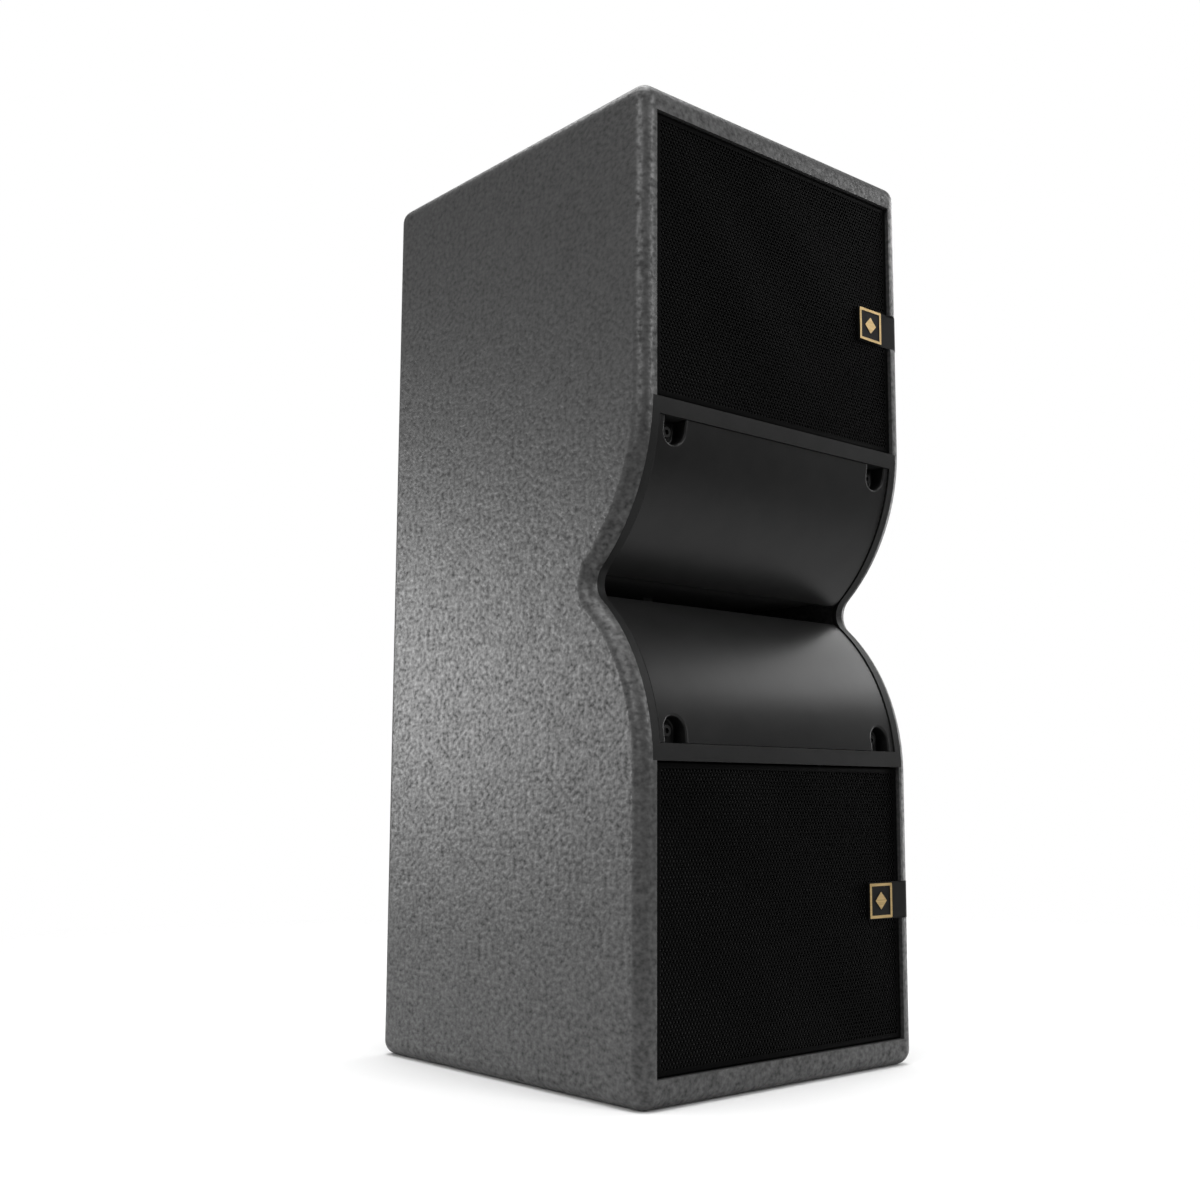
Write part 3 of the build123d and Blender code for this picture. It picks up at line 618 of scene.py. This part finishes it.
def pad(name, low, high, finish_name, node, crown, step, seed):
    """A cut sheet of foam or felt: soft edges, and a face that dips and swells by crown at most."""
    chance = random.Random(seed)
    size = high - low
    across, up = max(6, round(size.x / step)), max(6, round(size.z / step))
    swells = [
        (chance.uniform(*SWELL_RATE), chance.uniform(*SWELL_RATE), chance.uniform(*SWELL_PHASE))
        for _ in range(SWELLS)
    ]
    vertices, faces = [], []
    for side in (0, 1):
        for j in range(up + 1):
            for i in range(across + 1):
                u, v = i / across, j / up
                x, z = low.x + size.x * u, low.z + size.z * v
                rim = min(u * size.x, (1 - u) * size.x, v * size.z, (1 - v) * size.z)
                ease = min(1.0, rim / (size.y * SOFT_EDGE))
                fall = (1.0 - ease) ** 2 * crown
                ripple = sum(math.sin(a * x + b * z + c) for a, b, c in swells) / SWELLS
                dip = crown * (1 + ripple) / 2 * ease
                y = low.y + fall * EDGE_DROP + dip if side == 0 else high.y - fall
                vertices.append(Vector((x, y, z)))
    layer = (across + 1) * (up + 1)
    for j in range(up):
        for i in range(across):
            a = j * (across + 1) + i
            face = (a, a + 1, a + across + 2, a + across + 1)
            faces.append(face)
            faces.append(tuple(v + layer for v in reversed(face)))
    rim_line = (
        list(range(across + 1))
        + [j * (across + 1) + across for j in range(1, up + 1)]
        + [up * (across + 1) + i for i in range(across - 1, -1, -1)]
        + [j * (across + 1) for j in range(up - 1, 0, -1)]
    )
    for a, b in zip(rim_line, rim_line[1:] + rim_line[:1]):
        faces.append((b, a, a + layer, b + layer))
    obj = piece(name, vertices, faces, finish_name, ROOT)
    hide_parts(node)


# ---- driver's moving suspension ----
POT_TO_FACE = 103.0 * MM               # from the magnet's middle to the baffle's face, along the axis


def driver_frame(half):
    """The driver's own frame: its origin on the baffle's face and +Z out of the front."""
    joint = next(j for j in frame["joints"] if j["name"] == f"{half}_cone_travel")
    out = Vector(joint["axis"]).normalized()
    low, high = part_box(f"{half}_magnet")
    right = Vector((1, 0, 0))
    turn = Matrix((right, out.cross(right), out)).transposed().to_4x4()
    return Matrix.Translation((low + high) / 2 + out * POT_TO_FACE) @ turn


HELD_OUTSIDE, HELD_INSIDE = 4.0, 5.0   # width in mm of the glued rims, which don't bend


def lathe(name, profile, segments, half, finish_name, node):
    """A closed (R, Z) profile in millimetres turned about the driver's axis; it bends with the cone."""
    place = driver_frame(half)
    vertices, faces = [], []
    size = len(profile)
    for k in range(segments):
        turn = 2 * math.pi * k / segments
        for r, z in profile:
            vertices.append(place @ (Vector((r * math.cos(turn), r * math.sin(turn), z)) * MM))
    for k in range(segments):
        here, there = k * size, (k + 1) % segments * size
        for i in range(size):
            j = (i + 1) % size
            faces.append((here + i, there + i, there + j, here + j))
    obj = piece(name, vertices, faces, finish_name)
    inner = min(r for r, _ in profile) + HELD_INSIDE
    outer = max(r for r, _ in profile) - HELD_OUTSIDE
    start = place @ Vector((outer * MM, 0, 0))
    end = place @ Vector((inner * MM, 0, 0))
    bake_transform(obj, ROOT, f"{half}_cone_assembly", start=start, end=end)
    back = place.inverted()
    for vertex, weight in zip(obj.data.vertices, obj.data.attributes["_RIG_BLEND"].data):
        r = (back @ vertex.co).xy.length / MM
        share = min(1.0, max(0.0, (outer - r) / (outer - inner)))
        weight.value = share * share * (3 - 2 * share)
    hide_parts(node)


def surround_profile():
    """Half roll with fine ribs along it and a flat lip on each side, 0.8 mm thick, in millimetres."""
    lip_in, lip_out, mid, radius, sheet, foot = 108.5, 138.0, 124.0, 10.2, 0.8, 5.0
    rib_high, ribs, steps = 0.12, 5, 40
    outer = [(lip_in, foot + sheet)]
    for k in range(steps + 1):
        turn = math.pi * (1 - k / steps)
        rib = rib_high * math.cos(2 * math.pi * ribs * k / steps)
        reach = radius - rib_high + rib * math.sin(turn)
        height = max(reach * math.sin(turn), sheet)
        outer.append((mid + reach * math.cos(turn), foot + height))
    outer.append((lip_out, foot + sheet))
    inner = [(lip_out, foot)]
    for k in range(steps + 1):
        turn = math.pi * k / steps
        reach = radius - sheet
        inner.append((mid + reach * math.cos(turn), foot + reach * math.sin(turn)))
    inner.append((lip_in, foot))
    return outer + inner


def spider_profile():
    """Six smooth corrugations between two flats, 0.8 mm thick, in millimetres."""
    inner, outer, flat = 38.8, 88.0, 4.0
    level, swing, sheet = -63.0, 2.2, 0.8
    waves = 6
    steps = 14 * waves
    line = [(inner, level)]
    for k in range(steps + 1):
        r = inner + flat + (outer - inner - 2 * flat) * k / steps
        line.append((r, level + swing * math.sin(2 * math.pi * waves * k / steps)))
    line.append((outer, level))
    return line + [(r, z + sheet) for r, z in reversed(line)]


# ---- details of the rear sockets ----
BEVEL = 0.22                           # share of a bar's thinnest side


def bars(name, boxes, material):
    """Several small bevelled bars, each from its (centre, size, turn about Y), as one piece."""
    built = bmesh.new()
    for centre, size, turn in boxes:
        made = bmesh.ops.create_cube(built, size=1.0)
        place = Matrix.Translation(centre) @ Matrix.Rotation(turn, 4, "Y") @ Matrix.Diagonal((*size, 1.0))
        bmesh.ops.transform(built, matrix=place, verts=made["verts"])
        edges = {edge for vertex in made["verts"] for edge in vertex.link_edges}
        bmesh.ops.bevel(built, geom=list(edges), offset=min(size) * BEVEL, segments=2, affect="EDGES")
    mesh = bpy.data.meshes.new(name)
    built.to_mesh(mesh)
    built.free()
    obj = show(name, mesh, material)
    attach(obj, ROOT)


SOCKET_R, CORE_R = 10.5 * MM, 6.5 * MM
# Sizes are across, along and outwards; depths are behind the socket's mouth, and the rise is above its axis
CONTACT_SIZE, CONTACT_DEPTH = (2.4 * MM, 12 * MM, 1.0 * MM), 15 * MM
KEY_SIZE, KEY_DEPTH = (2.6 * MM, 14 * MM, 1.4 * MM), 9 * MM
LATCH_SIZE, LATCH_DEPTH, LATCH_RISE = (5.0 * MM, 1.0 * MM, 2.0 * MM), 0.2 * MM, 12.1 * MM
SHOWS, SUNK = 0.2 * MM, 0.4 * MM       # how far a contact stands out of the core, and a key lies inwards
contact_metal = contact_copper()


def socket_details(node):
    """Spring contacts on a socket's core, keys in its mouth and the latch above it."""
    low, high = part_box(node)
    mouth = Vector(((low.x + high.x) / 2, high.y, (low.z + high.z) / 2))

    def around(degrees, radius, depth, size):
        """One bar at an angle round the socket's axis, turned to face outwards."""
        turn = math.radians(degrees)
        out = Vector((math.sin(turn), 0, math.cos(turn)))
        return mouth + Vector((0, -depth, 0)) + out * radius, size, turn

    contacts = [around(45 + 90 * k, CORE_R + SHOWS, CONTACT_DEPTH, CONTACT_SIZE) for k in range(4)]
    keys = [around(90 + 180 * k, SOCKET_R - SUNK, KEY_DEPTH, KEY_SIZE) for k in range(2)]
    latch = around(0, LATCH_RISE, LATCH_DEPTH, LATCH_SIZE)
    bars(f"{node}_contacts", contacts, contact_metal)
    bars(f"{node}_keys", keys + [latch], LOOKS["connector_plastic"])


# ---- the pieces that stand in for CAD nodes or add to them ----
for half in HALVES:
    grille_sheet(half)
    foam_low, foam_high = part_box(f"{half}_grille_foam")
    foam = {"crown": 0.5 * MM, "step": 6 * MM, "seed": HALVES.index(half)}
    pad(f"{half}_foam_pad", foam_low, foam_high, "black_foam", f"{half}_grille_foam", **foam)
    lathe(f"{half}_surround_roll", surround_profile(), 160, half, "surround_cloth", f"{half}_surround")
    lathe(f"{half}_spider_disc", spider_profile(), 144, half, "spider_cloth", f"{half}_spider")

mat_low, mat_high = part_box("damping_mats")
mat_heights = [vertex.co.z for vertex in frame["nodes"]["damping_mats"].data.vertices]
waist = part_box("port_divider")[0].z
lower_mat_high = Vector((mat_high.x, mat_high.y, max(z for z in mat_heights if z < waist)))
upper_mat_low = Vector((mat_low.x, mat_low.y, min(z for z in mat_heights if z > waist)))
mat = {"crown": 2.0 * MM, "step": 8 * MM}
pad("lower_felt_mat", mat_low, lower_mat_high, "felt", "damping_mats", seed=11, **mat)
pad("upper_felt_mat", upper_mat_low, mat_high, "felt", "damping_mats", seed=12, **mat)
for socket in ("input_connector", "link_connector"):
    socket_details(socket)


# ---- floor, light and camera ----
FLOOR_R, FADE_FROM, FADE_TO = 1.9, 0.15, 0.95      # radius, and the shares of it where the fading runs


def floor_look():
    """Pale matt floor that fades out at its rim and spills little light back up."""
    look = Shader("floor_look", Roughness=0.9, Specular_IOR_Level=0.1)
    scuffs = look.noise(3.0, detail=3.0)
    pale = look.mix(look.span(scuffs, 0.3, 0.7), grey(0.88), grey(0.9))
    spill = look.add("ShaderNodeLightPath").outputs["Is Diffuse Ray"]
    look.feed("Base Color", look.mix(spill, pale, grey(0.3)))
    distance = look.add("ShaderNodeVectorMath", {0: look.place}, operation="LENGTH").outputs["Value"]
    look.feed("Alpha", look.span(distance, FLOOR_R * FADE_FROM, FLOOR_R * FADE_TO, 1.0, 0.0))
    return look.material


def make_floor():
    """A plain disc under the object, for show only."""
    mesh = bpy.data.meshes.new("studio_floor")
    built = bmesh.new()
    bmesh.ops.create_circle(built, cap_ends=True, radius=FLOOR_R, segments=96)
    built.to_mesh(mesh)
    built.free()
    obj = bpy.data.objects.new("studio_floor", mesh)
    bpy.context.scene.collection.objects.link(obj)
    mesh.materials.append(floor_look())


def stand(name, lamp, place, aim):
    """Put a lamp at place and point it at aim."""
    obj = bpy.data.objects.new(name, lamp)
    bpy.context.scene.collection.objects.link(obj)
    obj.location = place
    obj.rotation_euler = (Vector(aim) - Vector(place)).to_track_quat("-Z", "Y").to_euler()


def softbox(name, place, aim, size, power):
    """A rectangular soft light at place that points at aim; size is its width and height."""
    lamp = bpy.data.lights.new(name, "AREA")
    lamp.shape = "RECTANGLE"
    lamp.size, lamp.size_y = size
    lamp.energy = power
    stand(name, lamp, place, aim)


def spotlight(name, place, aim, spread, radius, power):
    """A round soft-edged beam; spread is its full angle in degrees."""
    lamp = bpy.data.lights.new(name, "SPOT")
    lamp.spot_size = math.radians(spread)
    lamp.spot_blend = 1.0
    lamp.shadow_soft_size = radius
    lamp.energy = power
    stand(name, lamp, place, aim)


def make_world(strength):
    """White behind the object, and a dim even fill for everything else."""
    world = bpy.data.worlds.new("studio")
    world.use_nodes = True
    tree = world.node_tree
    fill = tree.nodes["Background"]
    fill.inputs["Strength"].default_value = strength
    fill.inputs["Color"].default_value = grey(1.0)
    white = tree.nodes.new("ShaderNodeBackground")
    white.inputs["Strength"].default_value = 1.0
    white.inputs["Color"].default_value = grey(1.0)
    path = tree.nodes.new("ShaderNodeLightPath")
    pick = tree.nodes.new("ShaderNodeMixShader")
    tree.links.new(path.outputs["Is Camera Ray"], pick.inputs[0])
    tree.links.new(fill.outputs[0], pick.inputs[1])
    tree.links.new(white.outputs[0], pick.inputs[2])
    tree.links.new(pick.outputs[0], tree.nodes["World Output"].inputs["Surface"])
    bpy.context.scene.world = world


def make_camera(azimuth, pitch, distance, aside, height, focal, shift):
    """A camera at an azimuth and distance round the upright axis, moved aside to its right."""
    turn, tilt = math.radians(azimuth), math.radians(pitch)
    right = Vector((math.cos(turn), math.sin(turn), 0))
    ahead = Vector((-math.sin(turn) * math.cos(tilt), math.cos(turn) * math.cos(tilt), math.sin(tilt)))
    up = right.cross(ahead)
    camera = bpy.data.objects.new("camera", bpy.data.cameras.new("camera"))
    bpy.context.scene.collection.objects.link(camera)
    place = Vector((math.sin(turn), -math.cos(turn), 0)) * distance + right * aside
    place.z = height
    turned = Matrix((right, up, -ahead)).transposed().to_4x4()
    camera.matrix_world = Matrix.Translation(place) @ turned
    camera.data.sensor_width = 36.0
    camera.data.lens = focal
    camera.data.shift_x, camera.data.shift_y = shift
    bpy.context.scene.camera = camera


make_floor()
make_world(0.10)
softbox("overhead", (-0.2, 0.3, 3.4), (0, 0, 0), (3.4, 3.4), 150.0)
softbox("left_fill", (-3.2, -0.6, 2.2), (0, 0, 0.4), (2.0, 2.0), 50.0)
softbox("right_strip", (2.18, -0.37, 1.76), (0, -0.15, 0.36), (2.4, 0.5), 24.0)
softbox("front_tall", (0.45, -3.0, 1.8), (0, 0, 0.4), (0.9, 2.0), 45.0)
softbox("right_rim", (2.56, -0.45, 0.45), (0, 0, 0.4), (0.8, 1.4), 20.0)
spotlight("left_back", (-1.9, 3.0, 0.62), (-0.16, 0.16, 0.42), spread=25, radius=0.4, power=168.0)
make_camera(azimuth=-42.203, pitch=7.066, distance=1.3861, aside=0.01624, height=0.23276, focal=43.4655,
            shift=(-0.0495, 0.0225))
bpy.context.scene.view_settings.view_transform = "Standard"
